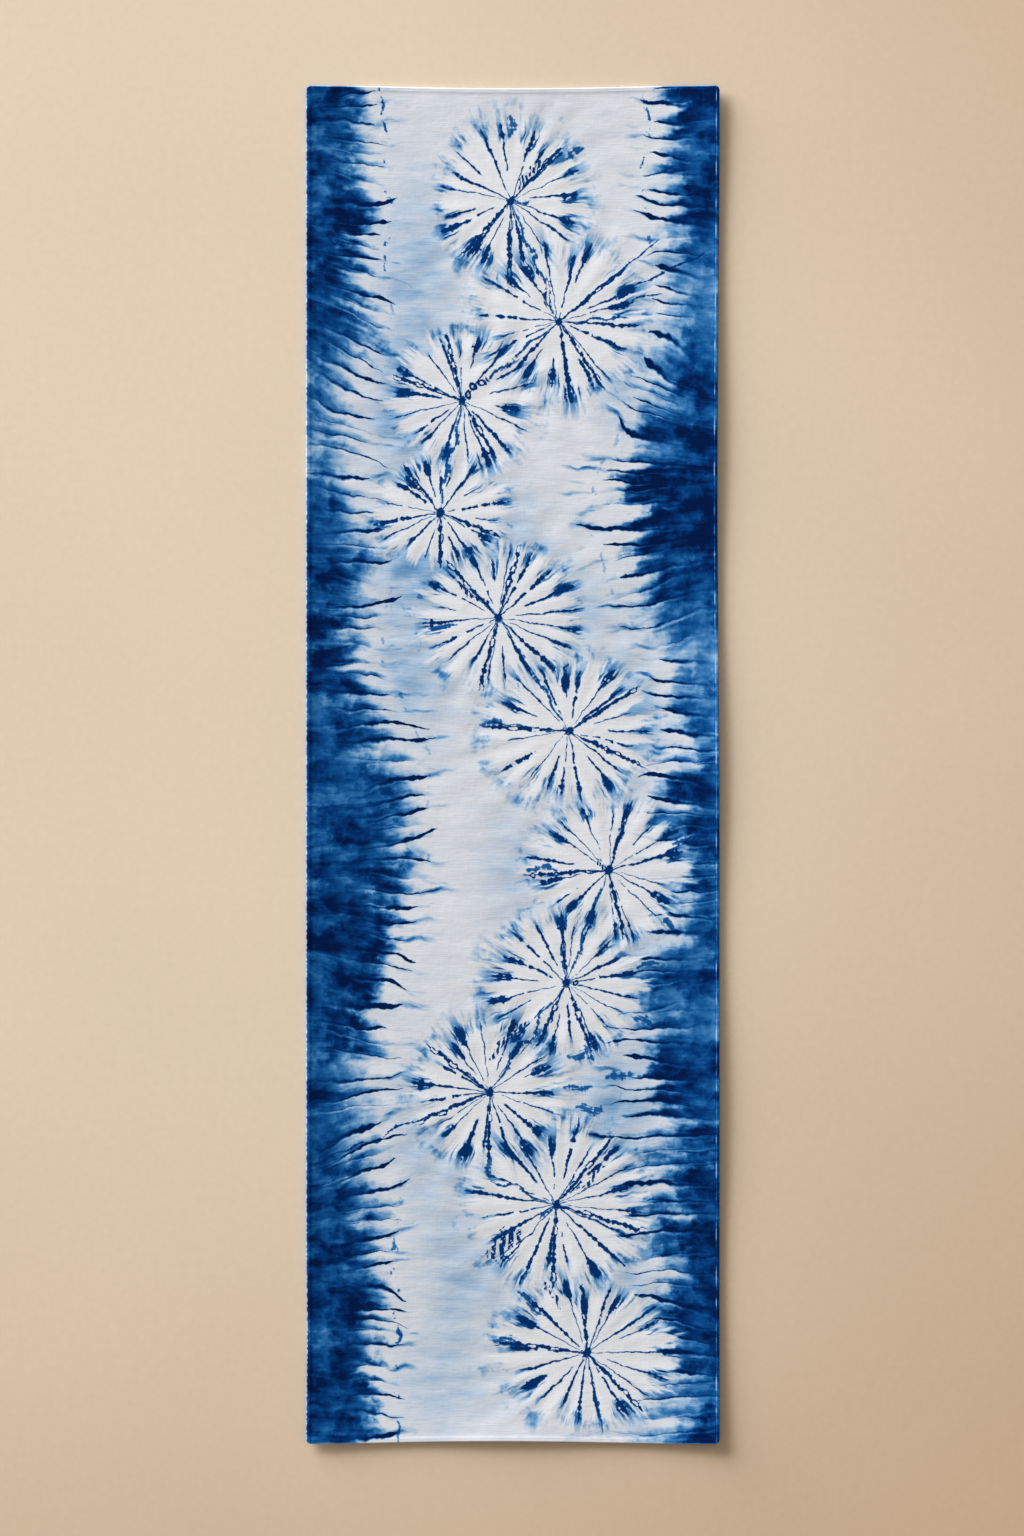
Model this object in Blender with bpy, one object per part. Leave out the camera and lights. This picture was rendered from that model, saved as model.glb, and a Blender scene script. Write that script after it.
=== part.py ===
"""A long narrow panel of indigo-dyed cotton with a narrow turned hem on all four sides.

It lies face up on a flat surface, with its length along Y and its width along X. The
middle of its underside touches z = 0, and the hemmed edges rise a little from there.
Units are metres and +Z is up. The origin is the middle of the underside.
"""

import bpy
import numpy as np

# Cut size of the finished panel, between its folded edges
LENGTH = 1.200
WIDTH = 0.365

# Cloth and hem
CLOTH_THICK = 0.0012
HEM_THICK = 0.0022
HEM_WIDTH = 0.0040
HEM_SLOPE = 0.0008
FOLD_RADIUS = 0.0011
FOLD_WALL_SHARE = 0.3
CORNER_RADIUS = 0.0030

# The edges rise from the surface over this distance, in uneven waves
LIFT_REACH = 0.060
LIFT_SWELL = 0.30
EDGE_LIFTS = {
    # edge: (height, waves along the edge)
    "left": (0.0012, 5),
    "right": (0.0018, 4),
    "bottom": (0.0018, 2),
    "top": (0.0012, 2),
}

# Where an edge bows in: shares are of that edge's length, from its left or lower end
EDGE_BOWS = {
    # edge: (centre share, reach share, depth)
    "left": (0.08, 0.07, 0.0006),
    "right": (0.71, 0.26, 0.0018),
    "bottom": (0.47, 0.47, 0.0022),
    "top": (0.50, 0.50, 0.0026),
}

# How the panel is divided: stations inwards from an edge, then even spans to the middle
EDGE_STATIONS = (0.0, 0.0004, 0.0012, 0.0040, 0.0048, 0.0150, 0.0350, 0.0600)
SPANS_ACROSS = 5
SPANS_ALONG = 13

# Average colour of the dyed face, as linear light, and how matt the cotton is
DYE_BLUE = (0.35, 0.41, 0.52, 1.0)
COTTON_ROUGHNESS = 0.85


def clear_scene():
    for obj in list(bpy.data.objects):
        bpy.data.objects.remove(obj, do_unlink=True)


def stations(size, spans):
    """Places across the whole panel, from minus half its size to plus half."""
    half = size / 2
    edge = -half + np.array(EDGE_STATIONS)
    middle = np.linspace(edge[-1], 0.0, spans + 1)[1:]
    lower = np.concatenate([edge, middle])
    return np.concatenate([lower, -lower[-2::-1]])


def bow(along, edge):
    """How far an edge lies inside the straight line: a raised cosine about its centre."""
    centre, reach, depth = EDGE_BOWS[edge]
    share = np.clip((along - centre) / reach, -1.0, 1.0)
    return depth * 0.5 * (1.0 + np.cos(np.pi * share))


def raised(along, distance, edge):
    """Height of the underside: the square of the nearness to an edge, wavy along it."""
    height, waves = EDGE_LIFTS[edge]
    nearness = np.clip(1.0 - distance / LIFT_REACH, 0.0, 1.0)
    wave = 1.0 + LIFT_SWELL * np.cos(2.0 * np.pi * waves * along)
    return height * wave * nearness**2


def fold_share(distance):
    """Half thickness of the folded edge as a share: a quarter circle of FOLD_RADIUS."""
    inward = np.clip(distance / FOLD_RADIUS, 0.0, 1.0)
    arc = np.sqrt(1.0 - (1.0 - inward) ** 2)
    return FOLD_WALL_SHARE + (1.0 - FOLD_WALL_SHARE) * arc


def rounded_corners(x, y, across, along):
    """Turns each square corner of CORNER_RADIUS into a quarter disc."""
    a = np.clip(1.0 - across / CORNER_RADIUS, 0.0, 1.0)
    b = np.clip(1.0 - along / CORNER_RADIUS, 0.0, 1.0)
    x = x - np.sign(x) * CORNER_RADIUS * a * (1.0 - np.sqrt(1.0 - b**2 / 2.0))
    y = y - np.sign(y) * CORNER_RADIUS * b * (1.0 - np.sqrt(1.0 - a**2 / 2.0))
    return x, y


def panel_surfaces():
    """Top and underside points on one grid, rows along Y and columns along X."""
    flat_x, flat_y = np.meshgrid(stations(WIDTH, SPANS_ACROSS), stations(LENGTH, SPANS_ALONG))
    share_x = flat_x / WIDTH + 0.5
    share_y = flat_y / LENGTH + 0.5
    from_left = WIDTH / 2 + flat_x
    from_right = WIDTH / 2 - flat_x
    from_bottom = LENGTH / 2 + flat_y
    from_top = LENGTH / 2 - flat_y
    across = np.minimum(from_left, from_right)
    along = np.minimum(from_bottom, from_top)
    distance = np.minimum(across, along)

    x, y = rounded_corners(flat_x, flat_y, across, along)
    x = x + bow(share_y, "left") * (1.0 - share_x) - bow(share_y, "right") * share_x
    y = y + bow(share_x, "bottom") * (1.0 - share_y) - bow(share_x, "top") * share_y
    x -= (x.min() + x.max()) / 2
    y -= (y.min() + y.max()) / 2

    side_lift = raised(share_y, from_left, "left") + raised(share_y, from_right, "right")
    end_lift = raised(share_x, from_bottom, "bottom") + raised(share_x, from_top, "top")
    lift = np.hypot(side_lift, end_lift)

    hem = np.clip((HEM_WIDTH + HEM_SLOPE - distance) / HEM_SLOPE, 0.0, 1.0)
    thick = CLOTH_THICK + (HEM_THICK - CLOTH_THICK) * hem
    open_share = (1.0 - fold_share(distance)) / 2
    top = np.stack([x, y, lift + thick * (1.0 - open_share)], axis=-1)
    underside = np.stack([x, y, lift + thick * open_share], axis=-1)
    return top, underside


def rim(rows, columns):
    """Grid indices round the panel, counter-clockwise from above."""
    index = np.arange(rows * columns).reshape(rows, columns)
    return np.concatenate([index[0, :-1], index[:-1, -1], index[-1, :0:-1], index[:0:-1, 0]])


def panel_mesh(name):
    """One closed body: the top, the underside, and a narrow wall at the fold."""
    top, underside = panel_surfaces()
    rows, columns = top.shape[:2]
    count = rows * columns
    index = np.arange(count).reshape(rows, columns)
    quads = np.stack([index[:-1, :-1], index[:-1, 1:], index[1:, 1:], index[1:, :-1]], axis=-1)
    quads = quads.reshape(-1, 4)
    edge = rim(rows, columns)
    following = np.roll(edge, -1)
    wall = np.stack([edge + count, following + count, following, edge], axis=-1)
    faces = np.concatenate([quads, quads[:, ::-1] + count, wall])
    points = np.concatenate([top.reshape(-1, 3), underside.reshape(-1, 3)])
    mesh = bpy.data.meshes.new(name)
    mesh.from_pydata(points.tolist(), [], faces.tolist())
    mesh.validate()
    mesh.shade_smooth()
    return mesh


def cotton_material(name):
    material = bpy.data.materials.new(name)
    material.use_nodes = True
    shader = material.node_tree.nodes["Principled BSDF"]
    shader.inputs["Base Color"].default_value = DYE_BLUE
    shader.inputs["Roughness"].default_value = COTTON_ROUGHNESS
    shader.inputs["Metallic"].default_value = 0.0
    return material


def build_panel():
    mesh = panel_mesh("dyed_cloth")
    mesh.materials.append(cotton_material("indigo_cotton"))
    panel = bpy.data.objects.new("dyed_cloth", mesh)
    bpy.context.scene.collection.objects.link(panel)


clear_scene()
build_panel()
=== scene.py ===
"""The looks of a long cotton panel, dyed with indigo in spider-web shibori and laid flat.

The panel is one closed surface worked out with numpy. Its dye is worked out in shader nodes
from the place on the cloth: bound webs with their spokes, the joins, blots and rings beside
them, two pleated side bands, and a pale haze between. The script is laid out as an add-on and
run as a script.
"""

import math

import bpy
import numpy as np
from bpy.props import FloatProperty, FloatVectorProperty, PointerProperty
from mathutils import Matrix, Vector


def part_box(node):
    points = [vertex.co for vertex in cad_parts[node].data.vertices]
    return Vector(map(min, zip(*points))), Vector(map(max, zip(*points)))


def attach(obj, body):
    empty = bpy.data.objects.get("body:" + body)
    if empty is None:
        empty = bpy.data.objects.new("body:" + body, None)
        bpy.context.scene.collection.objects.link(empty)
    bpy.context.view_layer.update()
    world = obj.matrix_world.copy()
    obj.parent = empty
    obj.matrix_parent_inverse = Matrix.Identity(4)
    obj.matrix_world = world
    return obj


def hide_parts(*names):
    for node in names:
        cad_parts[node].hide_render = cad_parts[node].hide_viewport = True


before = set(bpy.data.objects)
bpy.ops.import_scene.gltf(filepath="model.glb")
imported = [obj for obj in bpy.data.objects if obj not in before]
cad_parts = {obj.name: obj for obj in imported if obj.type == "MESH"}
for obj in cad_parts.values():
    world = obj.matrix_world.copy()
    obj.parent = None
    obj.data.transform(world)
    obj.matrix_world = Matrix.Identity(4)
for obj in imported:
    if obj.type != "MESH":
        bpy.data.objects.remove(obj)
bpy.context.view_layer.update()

bl_info = {
    "name": "Shibori Cloth",
    "version": (1, 0, 0),
    "blender": (4, 5, 0),
    "location": "View3D > Sidebar > Shibori Cloth",
    "description": "Makes a flat panel of indigo-dyed spider-web shibori and its studio",
    "category": "Add Mesh",
}

NODE = "dyed_cloth"
BODY = "root"
LOW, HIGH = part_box(NODE)
CLOTH_WIDTH = HIGH[0] - LOW[0]
CLOTH_LENGTH = HIGH[1] - LOW[1]

MM = 0.001
TURN = 2.0 * math.pi

# The photograph's frame, and where the cloth lies in it
PHOTO_WIDTH_PX = 1024
PHOTO_HEIGHT_PX = 1536
CLOTH_CENTRE_X_PX = 512.8
CLOTH_CENTRE_Y_PX = 764.7
CLOTH_LENGTH_PX = 1357.0

# Edges: where each bows in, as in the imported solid, and how far it rises. Each rises more than
# the solid's, by 0.2 mm on the left and top, 0.4 mm on the bottom and 1.1 mm on the right, and
# from further in, because the photograph's shadow is that wide
EDGE_BOWS = {
    # edge: (centre share, reach share, depth)
    "left": (0.08, 0.07, 0.0006),
    "right": (0.71, 0.26, 0.0018),
    "bottom": (0.47, 0.47, 0.0022),
    "top": (0.50, 0.50, 0.0026),
}
EDGE_LIFTS = {
    # edge: (height, waves along the edge)
    "left": (0.0014, 5),
    "right": (0.0029, 4),
    "bottom": (0.0022, 2),
    "top": (0.0014, 2),
}
LIFT_REACH = 0.080
LIFT_SWELL = 0.30

# The turned hem, as shares of its width: where the grid's lines lie over it, and where its
# slope down to the single layer starts and ends
HEM_STATIONS = (0.0, 0.08, 0.22, 0.45, 0.70, 0.82, 0.90, 1.0, 1.2, 1.7)
HEM_SLOPE_START = 0.9
HEM_SLOPE_END = 1.2

# Its folded edge, as shares of its thickness: how far in the fold curves, and the wall outside
FOLD_REACH = 0.3
FOLD_WALL = 0.3

# The top is calm at the hem. Swells and puckers start this far in, and are full after the span
RELIEF_START = 0.0048
RELIEF_SPAN = 0.012

# Soft waves left by pressing, and how far their sum is raised so that it stays above nothing
SWELLS = (
    # wavelength along, wavelength across, offset in radians, share
    (0.310, 0.900, 0.0, 1.0),
    (0.127, -0.210, 1.3, 1.0),
    (0.071, 0.093, 2.1, 0.6),
)
SWELL_BASE = 3.2

# Bound webs, in millimetres from the cloth's top left corner, and angles in degrees
WEBS = (
    # across, down, reach across, reach along, spokes, three strong spokes
    (181, 101, 62, 69, 19, 46, 268, 228),
    (223, 208, 72, 68, 20, 38, 280, 304),
    (138, 278, 62, 58, 18, 104, 300, 160),
    (118, 377, 58, 46, 18, 338, 271, 128),
    (170, 470, 69, 62, 20, 73, 133, 255),
    (232, 570, 72, 62, 19, 32, 177, 334),
    (267, 693, 71, 60, 18, 71, 184, 283),
    (230, 793, 69, 60, 20, 95, 290, 245),
    (162, 889, 67, 62, 19, 143, 203, 269),
    (221, 989, 78, 70, 20, 267, 50, 343),
    (248, 1120, 78, 60, 19, 94, 173, 314),
)

# Bound lines that run from one knot to the next, for pairs of webs counted from the top
JOINS = (
    # web, next web, half width in millimetres
    (1, 2, 1.9),
    (2, 3, 1.3),
    (3, 4, 1.8),
    (5, 6, 1.5),
    (7, 8, 1.4),
    (8, 9, 1.7),
)

# Heavy strokes, blots and long lines: the web counted from the top, the direction in degrees,
# start, end and half width in millimetres, and how many bars to a metre cut across it. Where
# that is below nothing, it is how many open rings there are to a metre, as in a chain. Chance
# follows a row's place in the table, so new rows come last
BLOTS = (
    # web, angle, start, end, half width, bars
    (1, 52, 10, 46, 3.4, 300),
    (1, 91, 54, 76, 2.6, 0),
    (1, 36, 60, 80, 2.8, 0),
    (1, 233, 36, 64, 3.2, 260),
    (1, 0, 0, 18, 1.8, 0),
    (2, 113, 3, 52, 2.9, 170),
    (2, 3, 4, 64, 1.3, 0),
    (2, 39, 50, 116, 1.0, 0),
    (2, 25, 56, 150, 0.9, 0),
    (2, 15, 44, 96, 1.1, 0),
    (3, 41, 3, 30, 2.5, -125),
    (5, 139, 4, 50, 2.4, 200),
    (5, 21, 52, 74, 2.6, 0),
    (5, 190, 36, 64, 2.0, 0),
    (6, 90, 42, 60, 2.4, 0),
    (6, 176, 54, 80, 3.2, 0),
    (6, 93, 51, 59, 1.9, -125),
    (7, 135, 2, 13, 3.0, 400),
    (7, 72, 24, 46, 2.0, 0),
    (7, 180, 44, 74, 2.2, 0),
    (8, 97, 6, 36, 2.0, 0),
    (8, 354, 4, 12, 1.8, -125),
    (8, 225, 46, 98, 3.0, 260),
    (8, 290, 54, 74, 2.6, 0),
    (8, 12, 62, 84, 2.8, 0),
    (8, 333, 64, 88, 3.0, 0),
    (7, 22, 60, 80, 2.6, 0),
    (7, 318, 62, 84, 2.8, 0),
    (9, 202, 8, 170, 0.9, 0),
    (9, 270, 54, 78, 2.6, 0),
    (9, 24, 74, 100, 3.2, 0),
    (9, 3, 64, 92, 2.6, 0),
    (9, 7, 102, 130, 3.0, 0),
    (9, 350, 76, 104, 3.2, 0),
    (10, 222, 2, 20, 2.0, 0),
    (10, 217, 36, 78, 8.0, 135),
    (10, 38, 20, 58, 2.4, 220),
    (10, 160, 6, 64, 1.2, 0),
    (11, 138, 46, 84, 2.6, 0),
    (11, 121, 44, 76, 2.0, 200),
    (11, 281, 8, 74, 1.2, 0),
    (11, 172, 60, 82, 2.4, 0),
)

# Side bands, from the top in millimetres: how far across the dye is full and where it is gone,
# how dark it is from 0 to 1, how far a pleat rises for each step into the band, and how plainly
# the row of stitch marks shows where the pleats end
LEFT_BAND = (
    # down, full to, gone by, depth, lean, stitches
    (0, 36, 66, 0.86, -0.10, 1.0),
    (30, 32, 67, 0.86, -0.05, 1.0),
    (70, 26, 68, 0.82, 0.05, 1.0),
    (110, 38, 74, 0.90, 0.10, 1.0),
    (150, 28, 70, 0.88, 0.25, 0.9),
    (190, 34, 76, 0.86, 0.35, 0.5),
    (225, 24, 78, 0.78, 0.45, 0.1),
    (265, 12, 66, 0.64, 0.35, 0.0),
    (305, 12, 62, 0.64, 0.20, 0.0),
    (345, 14, 66, 0.70, 0.15, 0.0),
    (385, 30, 68, 0.68, 0.05, 0.0),
    (425, 28, 76, 0.84, 0.0, 0.1),
    (465, 28, 72, 0.82, 0.0, 0.3),
    (505, 28, 66, 0.88, -0.05, 0.5),
    (545, 34, 84, 0.78, 0.05, 0.5),
    (585, 44, 104, 0.80, 0.0, 0.3),
    (625, 66, 108, 0.79, -0.10, 0.3),
    (665, 70, 109, 0.80, -0.10, 0.4),
    (705, 62, 108, 0.84, 0.05, 0.2),
    (745, 60, 95, 0.90, 0.15, 0.1),
    (785, 46, 84, 0.93, 0.25, 0.1),
    (825, 24, 80, 0.92, 0.15, 0.0),
    (865, 20, 76, 0.80, 0.0, 0.0),
    (905, 18, 72, 0.77, -0.20, 0.0),
    (945, 24, 76, 0.75, -0.35, 0.1),
    (985, 40, 86, 0.79, -0.20, 0.4),
    (1020, 40, 78, 0.82, -0.05, 0.8),
    (1060, 50, 78, 0.87, 0.0, 1.0),
    (1100, 45, 82, 0.86, 0.05, 1.0),
    (1140, 48, 80, 0.94, 0.0, 1.0),
    (1200, 42, 80, 0.86, 0.05, 0.8),
)
RIGHT_BAND = (
    # down, full to, gone by, depth, lean, stitches
    (0, 334, 300, 0.90, 0.10, 0.9),
    (30, 332, 302, 0.90, 0.0, 1.0),
    (70, 334, 298, 0.86, -0.05, 1.0),
    (110, 344, 298, 0.90, -0.10, 1.0),
    (150, 340, 306, 0.70, -0.10, 0.6),
    (190, 332, 305, 0.56, -0.10, 0.1),
    (225, 332, 300, 0.62, -0.30, 0.0),
    (265, 322, 284, 0.84, -0.45, 0.1),
    (305, 318, 276, 0.88, -0.25, 0.3),
    (345, 310, 254, 0.95, 0.0, 0.5),
    (385, 308, 252, 0.95, 0.10, 0.5),
    (425, 318, 262, 0.91, 0.25, 0.4),
    (465, 338, 278, 0.76, 0.20, 0.3),
    (505, 340, 306, 0.52, 0.05, 0.2),
    (545, 340, 308, 0.60, -0.05, 0.2),
    (585, 360, 308, 0.80, 0.0, 0.1),
    (625, 340, 296, 0.88, -0.05, 0.0),
    (665, 350, 284, 0.82, -0.10, 0.0),
    (705, 360, 296, 0.80, 0.05, 0.0),
    (745, 345, 300, 0.72, 0.10, 0.0),
    (785, 324, 272, 0.80, 0.05, 0.1),
    (825, 322, 270, 0.72, 0.0, 0.1),
    (865, 326, 280, 0.88, -0.05, 0.1),
    (905, 332, 276, 0.87, 0.0, 0.2),
    (945, 352, 262, 0.86, 0.05, 0.1),
    (985, 340, 272, 0.88, 0.10, 0.3),
    (1020, 352, 272, 0.84, 0.05, 0.3),
    (1060, 335, 294, 0.90, 0.0, 0.2),
    (1100, 345, 300, 0.90, -0.05, 0.1),
    (1140, 356, 308, 0.82, -0.05, 0.1),
    (1175, 350, 276, 0.78, 0.0, 0.1),
    (1200, 350, 270, 0.86, 0.0, 0.1),
)

# Soft patches of pale dye between the webs and the bands, in millimetres
HAZES = (
    # across, down, reach across, reach along, strength
    (95, 160, 42, 90, 0.20),
    (85, 300, 40, 80, 0.24),
    (110, 425, 60, 36, 0.30),
    (95, 520, 40, 60, 0.24),
    (190, 390, 30, 40, 0.14),
    (230, 470, 40, 40, 0.22),
    (285, 250, 26, 50, 0.24),
    (290, 560, 26, 60, 0.26),
    (180, 690, 30, 50, 0.16),
    (290, 780, 30, 50, 0.24),
    (110, 930, 40, 70, 0.18),
    (280, 905, 36, 55, 0.31),
    (140, 1060, 40, 60, 0.20),
    (290, 1070, 24, 40, 0.22),
    (120, 1150, 50, 40, 0.14),
)


class ClothSizes(bpy.types.PropertyGroup):
    """The cloth, its hem and its relief"""

    cloth_thick: FloatProperty(
        name="Cloth Thickness", description="Thickness of the single cotton layer",
        default=0.0014, unit="LENGTH")
    hem_thick: FloatProperty(
        name="Hem Thickness", description="Thickness of the turned hem",
        default=0.0016, unit="LENGTH")
    hem_width: FloatProperty(
        name="Hem Width", description="Width of the turned hem", default=0.0040, unit="LENGTH")
    corner_radius: FloatProperty(
        name="Corner Radius", description="How much each corner of the hem is rounded",
        default=0.0045, unit="LENGTH")
    cell: FloatProperty(
        name="Grid Cell", description="Size of one cell of the cloth's surface",
        default=0.0034, unit="LENGTH")
    swell: FloatProperty(
        name="Swell", description="Height of the long soft waves left by pressing",
        default=0.00025, unit="LENGTH")
    pucker: FloatProperty(
        name="Pucker", description="Height of the creases that the binding leaves round a web",
        default=0.00016, unit="LENGTH")


class DyeColours(bpy.types.PropertyGroup):
    """The dye from none to the most, as linear light"""

    cotton: FloatVectorProperty(
        name="Cotton", description="Undyed cotton", subtype="COLOR", size=3,
        default=(0.811, 0.820, 0.845))
    mist: FloatVectorProperty(
        name="Mist", description="Cotton with a trace of dye", subtype="COLOR", size=3,
        default=(0.686, 0.723, 0.787))
    haze: FloatVectorProperty(
        name="Haze", description="Palest blue", subtype="COLOR", size=3,
        default=(0.492, 0.601, 0.742))
    sky: FloatVectorProperty(
        name="Sky", description="Pale blue", subtype="COLOR", size=3,
        default=(0.218, 0.409, 0.646))
    blue: FloatVectorProperty(
        name="Blue", description="Middle blue", subtype="COLOR", size=3,
        default=(0.046, 0.203, 0.472))
    royal: FloatVectorProperty(
        name="Royal", description="Full blue", subtype="COLOR", size=3,
        default=(0.0062, 0.0930, 0.304))
    deep: FloatVectorProperty(
        name="Deep", description="Deep indigo", subtype="COLOR", size=3,
        default=(0.0010, 0.0398, 0.182))
    navy: FloatVectorProperty(
        name="Navy", description="Navy of the side bands", subtype="COLOR", size=3,
        default=(0.0007, 0.0160, 0.0914))
    pleat: FloatVectorProperty(
        name="Pleat", description="Nearly black blue of a tight pleat", subtype="COLOR", size=3,
        default=(0.0007, 0.0062, 0.0439))


class DyePattern(bpy.types.PropertyGroup):
    """The webs' spokes and the bands' pleats"""

    spoke: FloatProperty(
        name="Spoke Width", description="Half width of a web's thickest spokes",
        default=0.0015, unit="LENGTH")
    wander: FloatProperty(
        name="Wander", description="How far spokes stray from straight",
        default=0.0050, unit="LENGTH")
    knot: FloatProperty(
        name="Knot", description="Radius of the dark knot in a web's middle",
        default=0.0041, unit="LENGTH")
    pitch: FloatProperty(
        name="Pleat Pitch", description="Distance between pleats along a side band",
        default=0.0145, unit="LENGTH")
    sway: FloatProperty(
        name="Sway", description="How far pleats stray from straight",
        default=0.0110, unit="LENGTH")


class StageSizes(bpy.types.PropertyGroup):
    """The floor, the camera and the light"""

    floor_size: FloatProperty(
        name="Floor Size", description="Side of the square floor", default=12.0, unit="LENGTH")
    floor_colour: FloatVectorProperty(
        name="Floor Colour", description="Plain pale floor near the light", subtype="COLOR",
        size=3, default=(0.81, 0.66, 0.495))
    floor_shade: FloatVectorProperty(
        name="Floor Shade", description="The same floor far from the light", subtype="COLOR",
        size=3, default=(0.66, 0.47, 0.31))
    lens: FloatProperty(
        name="Lens", description="Focal length of the camera in millimetres",
        default=85.0, unit="CAMERA")
    sensor: FloatProperty(
        name="Sensor", description="Long side of the sensor in millimetres",
        default=36.0, unit="CAMERA")
    key_place: FloatVectorProperty(
        name="Key Place", description="Where the softbox stands", subtype="TRANSLATION",
        size=3, default=(-10.1, 10.1, 3.20))
    key_power: FloatProperty(
        name="Key Power", description="Power of the softbox", default=6230.0, unit="POWER")
    key_width: FloatProperty(
        name="Key Width", description="Width of the softbox", default=12.0, unit="LENGTH")
    key_height: FloatProperty(
        name="Key Height", description="Height of the softbox", default=6.2, unit="LENGTH")
    key_colour: FloatVectorProperty(
        name="Key Colour", description="Colour of the softbox", subtype="COLOR", size=3,
        default=(0.965, 1.0, 1.045))
    sky: FloatProperty(
        name="Sky", description="Strength of the even light from all round", default=0.335)
    sky_colour: FloatVectorProperty(
        name="Sky Colour", description="Colour of the even light", subtype="COLOR", size=3,
        default=(1.0, 0.93, 0.84))


class ShiboriSettings(bpy.types.PropertyGroup):
    """Everything that the makers read"""

    sizes: PointerProperty(type=ClothSizes)
    colours: PointerProperty(type=DyeColours)
    pattern: PointerProperty(type=DyePattern)
    stage: PointerProperty(type=StageSizes)


# Shader arithmetic


class Signal:
    """One output of a shader node. Plain arithmetic on it adds Math nodes to its tree."""

    def __init__(self, tree, socket):
        self.tree = tree
        self.socket = socket

    def math(self, operation, *others):
        node = self.tree.nodes.new("ShaderNodeMath")
        node.operation = operation
        for slot, value in zip(node.inputs, (self, *others)):
            feed(self.tree, slot, value)
        return Signal(self.tree, node.outputs[0])

    def __add__(self, other):
        return self.math("ADD", other)

    def __sub__(self, other):
        return self.math("SUBTRACT", other)

    def __mul__(self, other):
        return self.math("MULTIPLY", other)

    def __truediv__(self, other):
        return self.math("DIVIDE", other)

    def __rsub__(self, other):
        return self.math("MULTIPLY_ADD", -1.0, other)

    def __abs__(self):
        return self.math("ABSOLUTE")

    __radd__ = __add__
    __rmul__ = __mul__

    def most(self, other):
        return self.math("MAXIMUM", other)

    def least(self, other):
        return self.math("MINIMUM", other)

    def rise(self, low, high, start=0.0, end=1.0):
        """Smooth step from start, where the signal is low, to end, where it is high."""
        node = self.tree.nodes.new("ShaderNodeMapRange")
        node.interpolation_type = "SMOOTHSTEP"
        for slot, value in zip(node.inputs, (self, low, high, start, end)):
            feed(self.tree, slot, value)
        return Signal(self.tree, node.outputs[0])


def feed(tree, slot, value):
    """Links a signal to a socket, or sets the socket to a plain value."""
    if isinstance(value, Signal):
        tree.links.new(value.socket, slot)
    else:
        slot.default_value = value


def hypotenuse(across, along):
    """The square root of the sum of the squares."""
    return (across * across + along * along).math("SQRT")


def split(vector):
    """The vector's three signals."""
    node = vector.tree.nodes.new("ShaderNodeSeparateXYZ")
    feed(vector.tree, node.inputs[0], vector)
    return [Signal(vector.tree, output) for output in node.outputs]


def join(tree, x, y, z=0.0):
    """A vector of three signals or plain values."""
    node = tree.nodes.new("ShaderNodeCombineXYZ")
    for slot, value in zip(node.inputs, (x, y, z)):
        feed(tree, slot, value)
    return Signal(tree, node.outputs[0])


def noise(vector, scale, detail=0.0, rough=0.5):
    """Flat noise over the vector's x and y, from 0 to 1: one value and three as a colour."""
    tree = vector.tree
    node = tree.nodes.new("ShaderNodeTexNoise")
    node.noise_dimensions = "2D"
    feed(tree, node.inputs["Vector"], vector)
    node.inputs["Scale"].default_value = scale
    node.inputs["Detail"].default_value = detail
    node.inputs["Roughness"].default_value = rough
    return Signal(tree, node.outputs["Fac"]), Signal(tree, node.outputs["Color"])


def beading(along, detail=0.0):
    """Noise along a line, from 0 to 1."""
    tree = along.tree
    node = tree.nodes.new("ShaderNodeTexNoise")
    node.noise_dimensions = "1D"
    feed(tree, node.inputs["W"], along)
    node.inputs["Scale"].default_value = 1.0
    node.inputs["Detail"].default_value = detail
    return Signal(tree, node.outputs["Fac"])


def dice(tree, x, y, z):
    """Three chances from 0 to 1, the same for the same x, y and z."""
    node = tree.nodes.new("ShaderNodeTexWhiteNoise")
    node.noise_dimensions = "3D"
    feed(tree, node.inputs["Vector"], join(tree, x, y, z))
    return split(Signal(tree, node.outputs["Color"]))


def attribute(tree, name):
    """The vector that the mesh stores under this name."""
    node = tree.nodes.new("ShaderNodeAttribute")
    node.attribute_type = "GEOMETRY"
    node.attribute_name = name
    return Signal(tree, node.outputs["Vector"])


def new_group(name, inputs, outputs):
    """An empty node group and the signals of its inputs."""
    group = bpy.data.node_groups.new(name, "ShaderNodeTree")
    for title, kind in inputs:
        group.interface.new_socket(name=title, in_out="INPUT", socket_type=kind)
    for title in outputs:
        group.interface.new_socket(name=title, in_out="OUTPUT", socket_type="NodeSocketFloat")
    entry = group.nodes.new("NodeGroupInput")
    return group, [Signal(group, entry.outputs[title]) for title, _ in inputs]


def close_group(group, results):
    """Links the results to the group's outputs."""
    leave = group.nodes.new("NodeGroupOutput")
    for slot, value in zip(leave.inputs, results):
        feed(group, slot, value)
    return group


def use_group(tree, group, inputs):
    """A node of the group, fed with the inputs, and the signals that come out of it."""
    node = tree.nodes.new("ShaderNodeGroup")
    node.node_tree = group
    for slot, value in zip(node.inputs, inputs):
        feed(tree, slot, value)
    return [Signal(tree, output) for output in node.outputs if output.type == "VALUE"]


# The dye of one bound web

# A stroke's soft edge, from outside its half width to inside, and the half width under which
# it fades away as a hair
EDGE_OUTSIDE = -0.00060
EDGE_INSIDE = 0.00035
HAIR = 0.00018

# Beads and breaks to a metre of spoke, and how far the beads widen a knot
SPOKE_BEADS = 230.0
SPOKE_BREAKS = 95.0
KNOT_BEADS = 0.0056

# A strong spoke opens like a chain where the noise of its breaks rises between these, and the
# same noise sways it by this many metres
CHAIN_FROM = 0.60
CHAIN_TO = 0.66
STRONG_SWAY = 0.0022

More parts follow.
